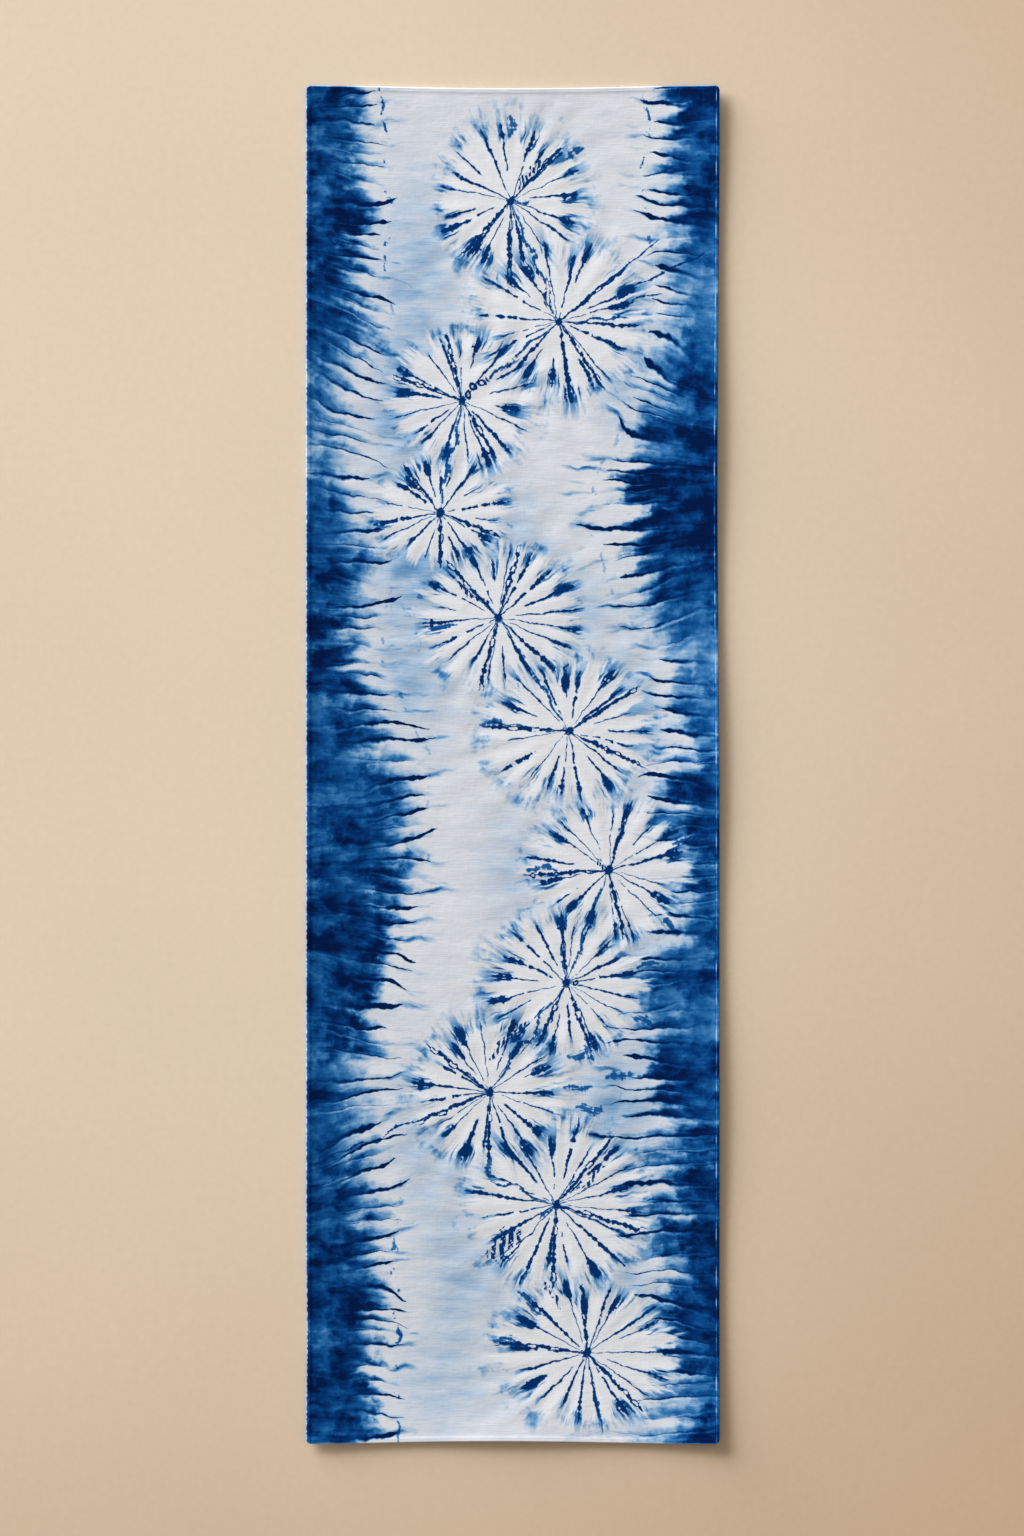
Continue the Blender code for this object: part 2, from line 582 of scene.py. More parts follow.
# Half widths at a spoke's end: chance scales the ragged leaf's and the feathered flame's, then
# a little is taken off the leaf and added to the flame
LEAF_WIDTH = 0.0052
LEAF_TAKEN = 0.0008
FLAME_WIDTH = 0.0075
FLAME_ADDED = 0.0012


def stroke(half, aside):
    """A stroke of the given half width with soft, dyed edges, and none where it has no width."""
    return (half - aside).rise(EDGE_OUTSIDE, EDGE_INSIDE) * half.rise(0.0, HAIR)


def strong_spoke(x, y, share, angle, beads, breaks, pattern):
    """A long beaded spoke at one angle, thin at the knot and gone past the web's reach. Where
    it opens like a chain, it is two thin lines side by side."""
    turn = angle * TURN
    cosine, sine = turn.math("COSINE"), turn.math("SINE")
    along = x * cosine + y * sine
    aside = abs(x * sine - y * cosine + (breaks - 0.5) * STRONG_SWAY)
    opened = breaks.rise(CHAIN_FROM, CHAIN_TO) * share.rise(0.15, 0.30)
    grown = share.rise(0.0, 0.45, 0.45, 1.0) * share.rise(1.10, 0.92)
    half = (beads * 2.2 - 0.15) * grown * pattern.spoke * (1.0 - opened * 0.6)
    off = abs(aside - opened * (pattern.spoke * 1.15))
    return stroke(half, off) * along.rise(-0.001, 0.001)


def spoke_flame(streak, beads, aside, outward, bold):
    """The dye at a spoke's end, each part by how far outward of that end it lies: a solid leaf,
    a feathered tuft about it, and a pale tail beyond. Streaks make their sides ragged."""
    leaf = outward.rise(-0.30, -0.08) * outward.rise(0.14, -0.02)
    leaf_half = (bold * LEAF_WIDTH - LEAF_TAKEN) * leaf * (beads * 1.7 + streak * 1.6)
    leaf = (leaf_half - aside).rise(-0.0006, 0.0008) * leaf.rise(0.0, 0.25)

    width = (bold * FLAME_WIDTH + FLAME_ADDED) * outward.rise(-0.34, -0.02, 0.15, 1.0)
    core = 1.0 - aside / width + streak * 3.6
    tuft = outward.rise(-0.26, -0.06) * outward.rise(0.20, 0.02)
    halo = 1.0 - aside / (width * 2.2) + streak * 2.4
    tail = outward.rise(-0.18, 0.02) * outward.rise(0.42, 0.06)
    flame = (core.rise(0.0, 0.75) * tuft * (bold * 0.40 + 0.38)).most(leaf * 0.86)
    return flame.most(halo.rise(0.0, 1.1) * tail * (bold * 0.40 + 0.16))


def web_group(pattern):
    """One web: the plane round its knot is cut into as many wedges as it has spokes, and chance
    moves, shortens, thins and breaks the spoke in each. Its share is 0 at the knot and 1 on the
    ellipse of its reaches. The cloth stays white in the petals between the spokes, and a ragged
    rim of pale dye lies round them."""
    vector = "NodeSocketVector"
    group, (place, size, mains, stray_in) = new_group(
        "kumo web",
        (("Place", vector), ("Size", vector), ("Strong", vector), ("Stray", vector)),
        ("Line", "Flame", "Rim", "Clear"))
    stray = split(stray_in)
    place_x, place_y, _ = split(place)
    x = place_x + stray[0] * pattern.wander
    y = place_y + stray[1] * pattern.wander
    reach_x, reach_y, spokes = split(size)
    share = hypotenuse(x / reach_x, y / reach_y)
    away = hypotenuse(x, y)

    # The angle, counted in wedges, and the chances of each wedge's spoke
    phase = (y.math("ARCTAN2", x) / TURN + 0.5) * spokes
    wedge = phase.math("FLOOR")
    seed_x = (reach_x / MM).math("ROUND")
    seed_y = (reach_y / MM).math("ROUND")
    shift, long, late = dice(group, wedge, seed_x, seed_y)
    heavy, whole, bold = dice(group, wedge, seed_x, seed_y + 0.5)

    # How far beside its spoke a point lies, in wedges and in metres, and the spoke's two ends
    drift = phase - wedge - 0.5 - (shift - 0.5) * 0.62
    aside = abs(drift) * away * TURN / spokes
    end = long * 0.30 + 0.74
    start = (late - 0.45).most(0.0)

    beads = beading(away * SPOKE_BEADS + wedge * 17.3, 1.0)
    breaks = beading(away * SPOKE_BREAKS + wedge * 9.1)
    grown = share.rise(0.05, 0.78, 0.24, 1.0) * (end - share).rise(-0.04, 0.08)
    half = (heavy * heavy * 0.90 + 0.26) * (beads * 2.2 - 0.10) * grown * pattern.spoke
    line = stroke(half, aside)
    line = line * (breaks + whole * 0.45).rise(0.42, 0.48) * (share - start).rise(0.0, 0.05)
    for angle in split(mains):
        line = line.most(strong_spoke(x, y, share, angle, beads, breaks, pattern))
    knot = away + (beads - 0.5) * KNOT_BEADS
    line = line.most(knot.rise(pattern.knot * 1.15, pattern.knot * 0.75))

    streak = noise(join(group, phase * 6.0, share * 3.0), 1.0, 1.0, 0.6)[0] - 0.5
    flame = spoke_flame(streak, beads, aside, share - end, bold)
    lobe = abs(drift).rise(0.42, 0.0)
    clear = (share + lobe * 0.34 + streak * 0.46).rise(1.14, 0.90)
    rim = share.rise(0.80, 1.00) * share.rise(1.50, 1.02)
    rim = rim * (stray[2] * 3.0 + streak * 1.2 + 0.36)
    return close_group(group, (line, flame, rim, clear))


# Chance to a metre along a join or blot: its beads, its bends, and its feathers, which are
# longer than wide
MARK_BEADS = 280.0
MARK_BENDS = 45.0
FEATHERS_ALONG = 70.0
FEATHERS_BESIDE = 520.0

# A mark with more bars to a metre than this has sharp edges and full dye
BARS_SHARP = 100.0


def mark_line(tree, x, stray):
    """The nearest join or blot: a beaded stroke that wanders from straight and is thin at both
    ends. Its feathered edge is softer, and its dye paler, where it is wide. Where it has bars, a
    sine wave across the cloth cuts it into them. Where it has rings, it is a row of circles."""
    along, beside, length = split(attribute(tree, "mark_place"))
    half, bars, seed = split(attribute(tree, "mark_look"))
    share = along / length
    taper = share.rise(0.0, 0.35) * share.rise(1.0, 0.72)
    beads = beading(along * MARK_BEADS + seed, 1.0)
    bend = beading(along * MARK_BENDS + seed * 3.0) - 0.5
    feather = join(tree, along * FEATHERS_ALONG, beside * FEATHERS_BESIDE + seed)
    feather = noise(feather, 1.0, 2.0, 0.6)[0] - 0.5
    aside = abs(beside + bend * taper * 0.010 + stray[0] * 0.0035)

    barred = bars.rise(0.0, BARS_SHARP)
    wide = half * (taper * 0.75 + 0.25) * (beads * 1.9 + feather * 3.2 - 0.05)
    edge = half * (0.34 - barred * 0.22) + 0.00010
    ink = (wide - aside).rise(edge * -1.0, edge) * wide.rise(0.0, 0.0003)
    slit = ((x + stray[1] * 0.005) * bars * TURN).math("SINE").rise(0.20, 0.60)
    ink = ink * (1.0 - slit * 0.88) * (1.0 - half * 95.0).most(barred * 0.26 + 0.70)

    link = ((along * bars).math("FRACT") - 0.5) / bars
    ring = abs(hypotenuse(link, aside) - half)
    chain = (half * (beads * 0.6 + 0.15) - ring).rise(-0.0004, 0.0003)
    ink = ink + (chain - ink) * bars.math("LESS_THAN", 0.0)
    return ink * share.rise(0.0, 0.06) * share.rise(1.0, 0.94)


# The dye of the pleated side bands

# Beads to a metre of pleat line, the half width that chance scales and what is then taken off
# it, and a stitch mark's soft edge, from outside to inside
PLEAT_BEADS = 120.0
PLEAT_WIDTH = 0.00165
PLEAT_TAKEN = 0.00005
STITCH_OUTSIDE = 0.0023
STITCH_INSIDE = 0.0008


def band_group(pattern):
    """A side band: the cloth's length is cut into bays by pleats. Its share is 0 where the dye
    is gone and 1 where it is full. A dark line runs in along each pleat, with a pale tail past
    its end, and the dye fades towards the middle of the cloth, least under a line, so that each
    bay ends in a pale round lobe. A darker band fades more sharply. Stitch marks show where the
    lines end."""
    vector = "NodeSocketVector"
    group, (band, fold, cloth, stray_in) = new_group(
        "pleated band",
        (("Band", vector), ("Fold", vector), ("Cloth", vector), ("Stray", vector)),
        ("Line", "Dye", "Bare"))
    inside, width, depth = split(band)
    lean, stitches, _ = split(fold)
    x, y, side = split(cloth)
    stray = split(stray_in)
    broad = noise(join(group, x, y), 20.0, 2.0, 0.55)[0] - 0.5
    share = inside / width

    # The place along the cloth, counted in pleats, with the lean, sway and uneven pitch
    height = y - lean * inside + broad * pattern.sway + stray[1] * 0.0045
    uneven = beading(height * 24.0 + side * 7.0)
    phase = height / pattern.pitch + uneven * 1.5

    # The line along each pleat: chance gives its length, hook and weight
    pleat = (phase + 0.5).math("FLOOR")
    reach, hook, heavy = dice(group, pleat, side, 0.25)
    turned = share.rise(0.35, -0.25)
    tilt = (share - 0.4).least(0.8) * (heavy - 0.5)
    drift = phase - pleat - (hook - 0.5) * 0.9 * turned * turned + tilt * 0.9
    aside = abs(drift) * pattern.pitch
    beads = beading(inside * PLEAT_BEADS + pleat * 7.7, 1.0)
    start = share + reach * 0.50 - 0.20
    taper = start.rise(0.0, 0.22, 0.25, 1.0) * share.rise(1.5, 0.5, 0.25, 1.0)
    half = (heavy * PLEAT_WIDTH - PLEAT_TAKEN) * (beads * 1.8 + 0.20) * taper
    blur = share.rise(0.1, 1.2, 0.00035, 0.0018)
    line = (half - aside).rise(blur * -1.0, blur) * start.rise(-0.02, 0.03)
    line = line * share.rise(1.8, 0.6, 0.15, 1.0) * half.rise(0.0, 0.0002)

    # The fade across each bay, pale under its lobe and cloudy along the pleats
    bay = phase.math("FLOOR")
    bare, tone, _ = dice(group, bay, side, 0.75)
    under = phase - bay
    lobe = under.rise(0.0, 0.70) * under.rise(1.0, 0.90)
    flow = join(group, x * 26.0 + stray[0] * 0.9, height * 34.0 + stray[2] * 0.9)
    cloud = noise(flow, 1.0, 2.0, 0.6)[0] - 0.5
    streak = noise(join(group, x * 36.0, height * 150.0), 1.0, 2.0, 0.6)[0] - 0.5
    full = share + cloud * 0.80 + streak * 0.46 + stray[0] * 0.30 + 0.13
    tight = depth.rise(0.80, 0.93)
    mass = (full - lobe * (bare * 0.55 + 0.08)).rise(tight * 0.42 - 0.30, 1.04 - tight * 0.22)

    # How dark the band is there, with painted highlight beside each line, a pale lip as on a lit
    # ridge, and a pale tail past it
    ridge_highlight = drift.rise(-0.22, -0.10) * drift.rise(-0.01, -0.06) * share.rise(-0.1, 0.2)
    ridge_highlight = ridge_highlight * share.rise(1.4, 0.6)
    shade = depth * 0.95 + (tone - 0.5) * 0.12 + cloud * 0.62 + stray[0] * 0.42
    dye = (shade + streak * 0.30 - ridge_highlight * 0.25).most(0.2).least(0.97) * mass
    tail = abs(drift).rise(0.34, 0.0) * share.rise(-0.95, -0.15) * share.rise(0.5, 0.0)
    dye = dye.most(tail * (streak * 1.2 + hook * 0.50))

    row = abs(inside + stray[0] * 0.012 + broad * 0.016)
    tick = stray[2].rise(0.04, 0.11) * row.rise(STITCH_OUTSIDE, STITCH_INSIDE)
    bare_strip = share.rise(-0.10, 0.10) * share.rise(1.1, 0.7)
    return close_group(group, (line.most(tick * stitches * 0.70), dye, bare_strip))


def dye_ramp(tree, amount, colours):
    """Dye from none to the most that a pleat takes, as the cotton's colour."""
    node = tree.nodes.new("ShaderNodeValToRGB")
    stops = (
        (0.00, colours.cotton), (0.12, colours.mist), (0.25, colours.haze), (0.40, colours.sky),
        (0.55, colours.blue), (0.70, colours.royal), (0.82, colours.deep),
        (0.92, colours.navy), (1.00, colours.pleat))
    ramp = node.color_ramp.elements
    for place, _ in stops[1:-1]:
        ramp.new(place)
    for element, (place, colour) in zip(ramp, stops):
        element.position = place
        element.color = (*colour, 1.0)
    feed(tree, node.inputs[0], amount)
    return Signal(tree, node.outputs[0])


def new_material(name):
    """A material, its tree and its shader."""
    material = bpy.data.materials.new(name)
    material.use_nodes = True
    tree = material.node_tree
    return material, tree, tree.nodes["Principled BSDF"]


def object_place(tree):
    """The place on the piece, in metres."""
    return Signal(tree, tree.nodes.new("ShaderNodeTexCoord").outputs["Object"])


# Metres in from the edge: the pale line along the right hem, partly rubbed wear and partly
# painted highlight on the fold, and the groove where each side hem meets the single layer,
# darkened as painted shade. Then how many changes in the pale lines there are to a metre
RIGHT_LINE_AT = 0.0028
GROOVE_SHADE_AT = 0.0036
LEFT_LINE_CHANGES = 240.0
RIGHT_LINE_CHANGES = 52.0


def hem_wear_and_shading(tree, amount, y):
    """Less dye along the folded edges, partly rubbed wear and partly painted highlight on the
    folds, and more in the groove beside a hem, as painted shade.
    """
    from_left, from_right, from_end = split(attribute(tree, "hem_place"))
    # Pale lines along the folded edges: partly rubbed wear, partly painted highlight
    fray_and_glint = beading(y * LEFT_LINE_CHANGES, 1.0)
    rubbed_and_lit = beading(y * RIGHT_LINE_CHANGES, 2.0).rise(0.40, 0.68, 0.10, 0.55)
    right = abs(from_right - RIGHT_LINE_AT).rise(0.0009, 0.0002) * rubbed_and_lit
    left = from_left.rise(0.0012, 0.0004) * fray_and_glint.rise(0.35, 0.65, 0.10, 0.55)
    end = from_end.rise(0.0014, 0.0005) * 0.45
    # Painted shade: more dye in the groove beside each side hem
    groove_shade = abs(from_left.least(from_right) - GROOVE_SHADE_AT).rise(0.0008, 0.0002)
    return amount * (1.0 - right.most(left).most(end)) + amount * groove_shade * 0.12


# The most dye, as a place on the ramp, in a web's or mark's line, a pleat's line and a web's
# rim, and how much of the haze and of the band a web's white petals clear away
LINE_DYE = 0.86
PLEAT_DYE = 0.96
RIM_DYE = 0.52
HAZE_CLEARED = 0.90
BAND_CLEARED = 0.85

# The heights of the crinkle and of the two sets of threads, in metres, and the noise cells to
# a metre across a thread and along it
CRINKLE_HEIGHT = 0.00020
WEFT_HEIGHT = 0.00004
WARP_HEIGHT = 0.00002
THREADS = 1500.0
THREAD_RUN = 70.0


def dyed_cotton(settings):
    """Indigo on plain-woven cotton: the webs, the bands and the haze, over slubs and a weave."""
    material, tree, shader = new_material("indigo_cotton")
    place = object_place(tree)
    x, y, _ = split(place)
    web = web_group(settings.pattern)
    band = band_group(settings.pattern)
    centred = tree.nodes.new("ShaderNodeVectorMath")
    centred.operation = "SUBTRACT"
    tree.links.new(noise(place, 62.0, 3.0, 0.62)[1].socket, centred.inputs[0])
    centred.inputs[1].default_value = (0.5, 0.5, 0.5)
    stray = Signal(tree, centred.outputs[0])

    found = []
    for rank in ("near", "next"):
        facts = [attribute(tree, f"web_{rank}_{fact}") for fact in ("place", "size", "strong")]
        found.append(use_group(tree, web, (*facts, stray)))
    line, flame, rim, clear = [near.most(following) for near, following in zip(*found)]
    line = line.most(mark_line(tree, x, split(stray)))

    fold = attribute(tree, "band_fold")
    cloth = join(tree, x, y, x.math("SIGN"))
    pleats, side_dye, bare = use_group(
        tree, band, (attribute(tree, "band_reach"), fold, cloth, stray))

    # The haze runs across the cloth in soft smears, and gives way to the webs and the bands
    slubs = noise(join(tree, x * 40.0, y * 900.0), 1.0, 1.0)[0] - 0.5
    smear = noise(join(tree, x * 22.0, y * 78.0), 1.0, 3.0, 0.6)[0] - 0.5
    haze = split(fold)[2] * (1.0 - bare * 0.3)
    haze = haze * (smear * 1.2 + 1.0) + smear * 0.18 + slubs * 0.08 + 0.08
    soft = haze.most(rim * RIM_DYE) * (1.0 - clear * HAZE_CLEARED)
    petals = 1.0 - clear * BAND_CLEARED
    soft = soft.most(side_dye * petals).most(flame)
    amount = soft + (LINE_DYE - soft).most(0.0) * line
    amount = amount + (PLEAT_DYE - amount).most(0.0) * pleats * petals
    # Pale folded edges, part wear and part painted highlight, and painted shade in the hem
    # grooves
    amount = hem_wear_and_shading(tree, amount, y) + slubs * 0.04
    colour = dye_ramp(tree, amount, settings.colours)
    tree.links.new(colour.socket, shader.inputs["Base Color"])

    crinkle = noise(join(tree, x * 60.0, y * 90.0), 1.0, 2.0, 0.55)[0]
    weft = noise(join(tree, x * THREAD_RUN, y * THREADS), 1.0)[0]
    warp = noise(join(tree, x * THREADS, y * THREAD_RUN), 1.0)[0]
    relief = crinkle * CRINKLE_HEIGHT + weft * WEFT_HEIGHT + warp * WARP_HEIGHT
    bump = tree.nodes.new("ShaderNodeBump")
    bump.inputs["Strength"].default_value = 1.0
    bump.inputs["Distance"].default_value = 1.0
    feed(tree, bump.inputs["Height"], relief)
    tree.links.new(bump.outputs["Normal"], shader.inputs["Normal"])
    feed(tree, shader.inputs["Roughness"], weft * 0.12 + 0.80)
    shader.inputs["Specular IOR Level"].default_value = 0.02
    return material


# The cloth's surface


def stations(size, sizes):
    """Places across the whole panel: close together over the hem, then even cells."""
    edge = -size / 2 + np.array(HEM_STATIONS) * sizes.hem_width
    spans = round(-edge[-1] / sizes.cell)
    middle = np.linspace(edge[-1], 0.0, spans + 1)[1:]
    lower = np.concatenate([edge, middle])
    return np.concatenate([lower, -lower[-2::-1]])


def bow(along, edge):
    """How far an edge lies inside the straight line: a raised cosine about its centre."""
    centre, reach, depth = EDGE_BOWS[edge]
    share = np.clip((along - centre) / reach, -1.0, 1.0)
    return depth * 0.5 * (1.0 + np.cos(np.pi * share))


def raised(along, distance, edge):
    """Height of the underside: the square of the nearness to an edge, wavy along it."""
    height, waves = EDGE_LIFTS[edge]
    nearness = np.clip(1.0 - distance / LIFT_REACH, 0.0, 1.0)
    wave = 1.0 + LIFT_SWELL * np.cos(TURN * waves * along)
    return height * wave * nearness**2


def web_table():
    """Each web as an array row: x, y, reach across, reach along, spokes, and the angles of its
    strong spokes as shares of a turn."""
    table = np.array(WEBS, dtype=float)
    table[:, 0] = -CLOTH_WIDTH / 2 + table[:, 0] * MM
    table[:, 1] = CLOTH_LENGTH / 2 - table[:, 1] * MM
    table[:, 2:4] *= MM
    table[:, 5:] /= 360.0
    return table


def puckers(x, y, height):
    """Creases round each web: a cosine of the angle times its spokes, strongest half way out."""
    relief = np.zeros_like(x)
    for web_x, web_y, reach_x, reach_y, spokes, *_ in web_table():
        across = (x - web_x) / reach_x
        along = (y - web_y) / reach_y
        share = np.hypot(across, along)
        ring = share**2 * np.exp(1.0 - share**2)
        relief += ring * np.cos(spokes * np.arctan2(along, across)) * height
    return relief


def swells(x, y, height):
    """Long soft waves: a sum of sine waves in different directions, raised above nothing and
    divided by the most that it can reach."""
    total = np.full_like(x, SWELL_BASE)
    most = SWELL_BASE
    for along, across, offset, share in SWELLS:
        total += share * np.sin(TURN * (y / along + x / across) + offset)
        most += share
    return height * total / most


def cloth_surfaces(sizes):
    """Top and underside on one grid over the panel, and how far each point lies from the left,
    right and nearer end edge. Each square corner becomes a quarter disc, the outline bows, the
    edges rise, the hem is a thicker strip whose fold is a quarter circle, and the top carries
    the swells and the puckers."""
    flat_x, flat_y = np.meshgrid(stations(CLOTH_WIDTH, sizes), stations(CLOTH_LENGTH, sizes))
    share_x = flat_x / CLOTH_WIDTH + 0.5
    share_y = flat_y / CLOTH_LENGTH + 0.5
    from_left, from_right = CLOTH_WIDTH / 2 + flat_x, CLOTH_WIDTH / 2 - flat_x
    from_bottom, from_top = CLOTH_LENGTH / 2 + flat_y, CLOTH_LENGTH / 2 - flat_y
    across = np.minimum(from_left, from_right)
    along = np.minimum(from_bottom, from_top)
    distance = np.minimum(across, along)

    radius = sizes.corner_radius
    near_x = np.clip(1.0 - across / radius, 0.0, 1.0)
    near_y = np.clip(1.0 - along / radius, 0.0, 1.0)
    x = flat_x - np.sign(flat_x) * radius * near_x * (1.0 - np.sqrt(1.0 - near_y**2 / 2))
    y = flat_y - np.sign(flat_y) * radius * near_y * (1.0 - np.sqrt(1.0 - near_x**2 / 2))
    x = x + bow(share_y, "left") * (1.0 - share_x) - bow(share_y, "right") * share_x
    y = y + bow(share_x, "bottom") * (1.0 - share_y) - bow(share_x, "top") * share_y
    x -= (x.min() + x.max()) / 2
    y -= (y.min() + y.max()) / 2

    side_lift = raised(share_y, from_left, "left") + raised(share_y, from_right, "right")
    end_lift = raised(share_x, from_bottom, "bottom") + raised(share_x, from_top, "top")
    lift = np.hypot(side_lift, end_lift)

    slope = (HEM_SLOPE_END - HEM_SLOPE_START) * sizes.hem_width
    turned = np.clip((sizes.hem_width * HEM_SLOPE_END - distance) / slope, 0.0, 1.0)
    thick = sizes.cloth_thick + (sizes.hem_thick - sizes.cloth_thick) * turned
    inward = np.clip(distance / (sizes.hem_thick * FOLD_REACH), 0.0, 1.0)
    fold = FOLD_WALL + (1.0 - FOLD_WALL) * np.sqrt(1.0 - (1.0 - inward) ** 2)
    shown = np.clip((distance - RELIEF_START) / RELIEF_SPAN, 0.0, 1.0)
    relief = (swells(x, y, sizes.swell) + puckers(x, y, sizes.pucker)) * shown
    top = lift + thick * (1.0 + fold) / 2 + relief
    underside = lift + thick * (1.0 - fold) / 2
    hem_place = np.stack([from_left, from_right, along], axis=-1)
    return np.stack([x, y, top], axis=-1), np.stack([x, y, underside], axis=-1), hem_place


def closed_sheet(top, underside):
    """Points and quads of one closed body: the top, the underside and the wall between."""
    rows, columns = top.shape[:2]
    count = rows * columns
    index = np.arange(count).reshape(rows, columns)
    quads = np.stack([index[:-1, :-1], index[:-1, 1:], index[1:, 1:], index[1:, :-1]], axis=-1)
    quads = quads.reshape(-1, 4)
    rim = np.concatenate([index[0, :-1], index[:-1, -1], index[-1, :0:-1], index[:0:-1, 0]])
    following = np.roll(rim, -1)
    wall = np.stack([rim + count, following + count, following, rim], axis=-1)
    faces = np.concatenate([quads, quads[:, ::-1] + count, wall])
    return np.concatenate([top.reshape(-1, 3), underside.reshape(-1, 3)]), faces


def store(mesh, name, domain, values):
    """Writes one array of vectors to the mesh, for its points or its faces' corners."""
    layer = mesh.attributes.new(name, "FLOAT_VECTOR", domain)
    layer.data.foreach_set("vector", np.ascontiguousarray(values, dtype=np.float32).ravel())


def store_webs(mesh, points, faces):
    """For each face, the nearest web and the next one: where each corner lies from its knot,
    its reach and number of spokes, and its strong spokes."""
    webs = web_table()
    centres = points[faces].mean(axis=1)
    gap_x = (centres[:, None, 0] - webs[None, :, 0]) / webs[None, :, 2]
    gap_y = (centres[:, None, 1] - webs[None, :, 1]) / webs[None, :, 3]
    order = np.argsort(np.hypot(gap_x, gap_y), axis=1)
    for rank, chosen in (("near", webs[order[:, 0]]), ("next", webs[order[:, 1]])):
        place = points[faces].copy()
        place[:, :, :2] -= chosen[:, None, :2]
        place[:, :, 2] = 0.0
        store(mesh, f"web_{rank}_place", "CORNER", place)
        for fact, columns in (("size", slice(2, 5)), ("strong", slice(5, 8))):
            facts = np.repeat(chosen[:, None, columns], 4, axis=1)
            store(mesh, f"web_{rank}_{fact}", "CORNER", facts)


def mark_table():
    """Each join and blot as an array row: start x and y, end x and y, half width and bars."""
    knots = web_table()[:, :2]
    rows = [(*knots[web - 1], *knots[following - 1], half * MM, 0.0)
            for web, following, half in JOINS]
    for web, angle, start, end, half, bars in BLOTS:
        turn = math.radians(angle)
        direction = np.array((math.cos(turn), math.sin(turn))) * MM
        ends = knots[web - 1] + direction * start, knots[web - 1] + direction * end
        rows.append((*ends[0], *ends[1], half * MM, bars))
    return np.array(rows)


# The noise of one mark starts this far along from the noise of the mark before it
MARK_SEED_STEP = 11.0


def store_marks(mesh, points, faces):
    """For each face, the nearest join or blot: how far along and beside it each corner lies and
    how long it is, then its half width, its bars and a seed."""
    marks = mark_table()
    run = marks[:, 2:4] - marks[:, :2]
    length = np.hypot(run[:, 0], run[:, 1])
    forward = run / length[:, None]
    gap = points[faces].mean(axis=1)[:, None, :2] - marks[None, :, :2]
    along = (gap * forward).sum(axis=-1)
    beside = gap[..., 1] * forward[:, 0] - gap[..., 0] * forward[:, 1]
    away = np.hypot(along - np.clip(along, 0.0, length), beside) - marks[:, 4]
    chosen = np.argmin(away, axis=1)
    corner = points[faces][:, :, :2] - marks[chosen, None, :2]
    ahead = forward[chosen, None]
    place = np.stack([
        (corner * ahead).sum(axis=-1),
        corner[..., 1] * ahead[..., 0] - corner[..., 0] * ahead[..., 1],
        np.repeat(length[chosen, None], 4, axis=1)], axis=-1)
    seed = chosen * MARK_SEED_STEP
    look = np.stack([marks[chosen, 4], marks[chosen, 5], seed], axis=-1)
    store(mesh, "mark_place", "CORNER", place)
    store(mesh, "mark_look", "CORNER", np.repeat(look[:, None], 4, axis=1))


def store_bands(mesh, points):
    """At each point, from the tables of the nearer band: how far it lies inside the place where
    the dye is gone, how wide the fade is and how dark the band is, then its lean, its stitch
    marks and the haze. The haze is a sum of soft round patches, each a bell curve."""
    across = points[:, 0] + CLOTH_WIDTH / 2
    down = CLOTH_LENGTH / 2 - points[:, 1]
    reach, fold = np.zeros_like(points), np.zeros_like(points)
    for table, inward, here in (
            (LEFT_BAND, 1.0, points[:, 0] <= 0.0), (RIGHT_BAND, -1.0, points[:, 0] > 0.0)):
        at, full, gone, depth, lean, stitches = np.array(table).T
        full, gone, depth, lean, stitches = [
            np.interp(down[here], at * MM, column)
            for column in (full * MM, gone * MM, depth, lean, stitches)]
        reach[here, 0] = (gone - across[here]) * inward
        reach[here, 1] = (gone - full) * inward
        reach[here, 2] = depth
        fold[here, 0] = lean
        fold[here, 1] = stitches
    for centre, at, reach_x, reach_y, strength in HAZES:
        gap = ((across - centre * MM) / (reach_x * MM)) ** 2
        gap += ((down - at * MM) / (reach_y * MM)) ** 2
        fold[:, 2] += strength * np.exp(-gap)
    store(mesh, "band_reach", "POINT", reach)
    store(mesh, "band_fold", "POINT", fold)


class SHIBORI_OT_cloth(bpy.types.Operator):
    """Makes the dyed panel with its turned hems"""

    bl_idname = "shibori.cloth"
    bl_label = "Make Dyed Cloth"

    def execute(self, context):
        settings = context.scene.shibori
        top, underside, hem_place = cloth_surfaces(settings.sizes)
        points, faces = closed_sheet(top, underside)
        mesh = bpy.data.meshes.new("dyed_panel")
        mesh.from_pydata(points, [], faces)
        mesh.shade_smooth()
        store_webs(mesh, points, faces)
        store_marks(mesh, points, faces)
        store_bands(mesh, points)
        store(mesh, "hem_place", "POINT", np.stack([hem_place, hem_place]))
        mesh.materials.append(dyed_cotton(settings))
        cloth = bpy.data.objects.new("dyed_panel", mesh)
        context.scene.collection.objects.link(cloth)
        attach(cloth, BODY)
        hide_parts(NODE)
        return {"FINISHED"}


# The studio

# Painted shade on the floor: its colour is brightest as far as the first distance from this
# place, nearest the light, and darkest from the second. It lies a little under the cloth, so
# that the two don't touch
BRIGHT_X = -0.29
BRIGHT_Y = 0.17
BRIGHT_TO = 0.40
DARK_FROM = 1.22
FLOOR_DROP = 0.0003


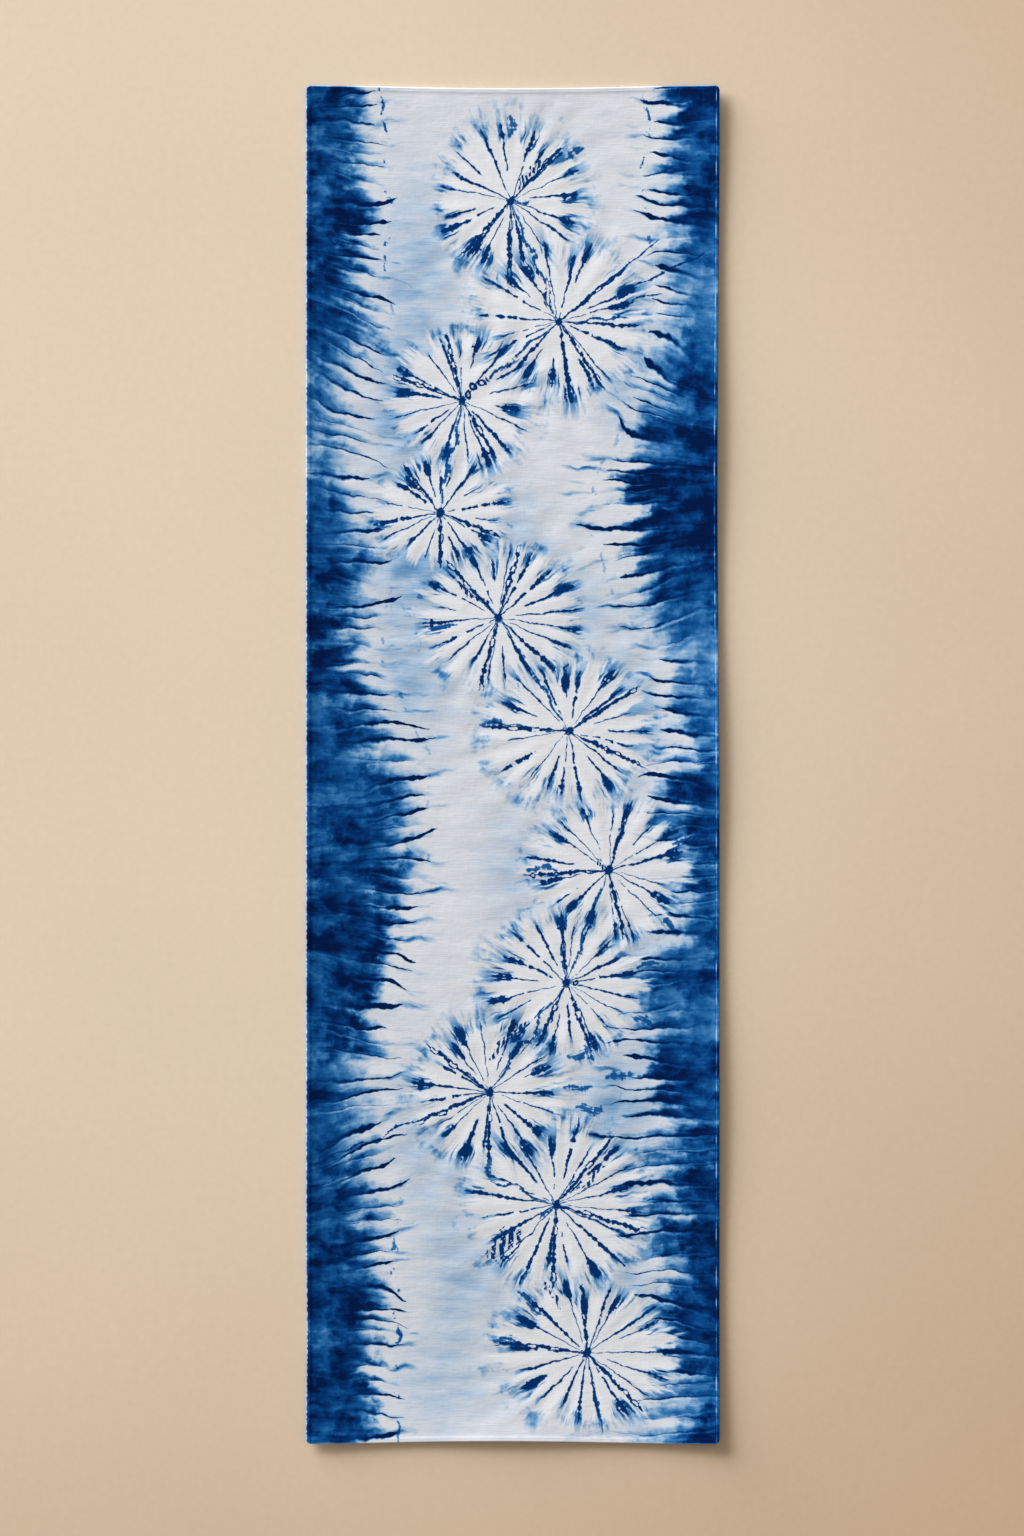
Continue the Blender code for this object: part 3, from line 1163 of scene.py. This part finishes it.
def floor_paint(stage):
    """Plain pale floor with a faint grain, a little darker away from the light."""
    material, tree, shader = new_material("pale_floor")
    place = object_place(tree)
    x, y, _ = split(place)
    away = hypotenuse(x - BRIGHT_X, y - BRIGHT_Y)
    # Painted shade: the floor's colour darkens away from the light
    shade = tree.nodes.new("ShaderNodeMix")
    shade.data_type = "RGBA"
    feed(tree, shade.inputs["Factor"], away.rise(BRIGHT_TO, DARK_FROM))
    shade.inputs["A"].default_value = (*stage.floor_colour, 1.0)
    shade.inputs["B"].default_value = (*stage.floor_shade, 1.0)
    grain = noise(place, 160.0, 1.0)[0]
    cloud = noise(place, 5.0)[0]
    node = tree.nodes.new("ShaderNodeHueSaturation")
    tree.links.new(shade.outputs["Result"], node.inputs["Color"])
    feed(tree, node.inputs["Value"], grain * 0.06 + cloud * 0.05 + 0.945)
    tree.links.new(node.outputs["Color"], shader.inputs["Base Color"])
    shader.inputs["Roughness"].default_value = 0.9
    shader.inputs["Specular IOR Level"].default_value = 0.1
    return material


def lay_floor(context, stage):
    """One square, a little under the cloth."""
    half = stage.floor_size / 2
    corners = [(x, y, -FLOOR_DROP) for x, y in (
        (-half, -half), (half, -half), (half, half), (-half, half))]
    mesh = bpy.data.meshes.new("floor")
    mesh.from_pydata(corners, [], [(0, 1, 2, 3)])
    mesh.materials.append(floor_paint(stage))
    floor = bpy.data.objects.new("floor", mesh)
    context.scene.collection.objects.link(floor)


def light_stage(context, stage):
    """A low, wide softbox beyond the cloth's top left corner, and even light from all round."""
    key = bpy.data.objects.new("softbox", bpy.data.lights.new("softbox", "AREA"))
    key.data.shape = "RECTANGLE"
    key.data.size = stage.key_width
    key.data.size_y = stage.key_height
    key.data.energy = stage.key_power
    key.data.color = stage.key_colour
    key.location = stage.key_place
    key.rotation_euler = (-key.location).to_track_quat("-Z", "Y").to_euler()
    context.scene.collection.objects.link(key)

    world = bpy.data.worlds.new("studio")
    world.use_nodes = True
    sky = world.node_tree.nodes["Background"]
    sky.inputs["Color"].default_value = (*stage.sky_colour, 1.0)
    sky.inputs["Strength"].default_value = stage.sky
    context.scene.world = world
    context.scene.view_settings.view_transform = "Standard"


def place_camera(context, stage):
    """The camera looks straight down, from where its frame takes in the photograph's."""
    metres_per_px = CLOTH_LENGTH / CLOTH_LENGTH_PX
    camera = bpy.data.objects.new("camera", bpy.data.cameras.new("camera"))
    camera.data.lens = stage.lens
    camera.data.sensor_width = stage.sensor
    camera.location = (
        (PHOTO_WIDTH_PX / 2 - CLOTH_CENTRE_X_PX) * metres_per_px,
        (CLOTH_CENTRE_Y_PX - PHOTO_HEIGHT_PX / 2) * metres_per_px,
        PHOTO_HEIGHT_PX * metres_per_px * stage.lens / stage.sensor)
    context.scene.collection.objects.link(camera)
    context.scene.camera = camera


class SHIBORI_OT_stage(bpy.types.Operator):
    """Makes the floor, the light and the camera"""

    bl_idname = "shibori.stage"
    bl_label = "Make Stage"

    def execute(self, context):
        stage = context.scene.shibori.stage
        lay_floor(context, stage)
        light_stage(context, stage)
        place_camera(context, stage)
        return {"FINISHED"}


class SHIBORI_PT_panel(bpy.types.Panel):
    """Lists the makers and their settings"""

    bl_idname = "SHIBORI_PT_panel"
    bl_label = "Shibori Cloth"
    bl_space_type = "VIEW_3D"
    bl_region_type = "UI"
    bl_category = "Shibori Cloth"

    def draw(self, context):
        settings = context.scene.shibori
        for maker in MAKERS:
            self.layout.operator(maker.bl_idname)
        for group in (settings.sizes, settings.colours, settings.pattern, settings.stage):
            box = self.layout.box()
            for name in group.bl_rna.properties.keys():
                if name not in ("rna_type", "name"):
                    box.prop(group, name)


MAKERS = (SHIBORI_OT_cloth, SHIBORI_OT_stage)
CLASSES = (
    ClothSizes, DyeColours, DyePattern, StageSizes, ShiboriSettings, *MAKERS, SHIBORI_PT_panel)


def register():
    for kind in CLASSES:
        bpy.utils.register_class(kind)
    bpy.types.Scene.shibori = PointerProperty(type=ShiboriSettings)


def unregister():
    del bpy.types.Scene.shibori
    for kind in reversed(CLASSES):
        bpy.utils.unregister_class(kind)


def main():
    register()
    bpy.ops.shibori.cloth()
    bpy.ops.shibori.stage()


if __name__ == "__main__":
    main()
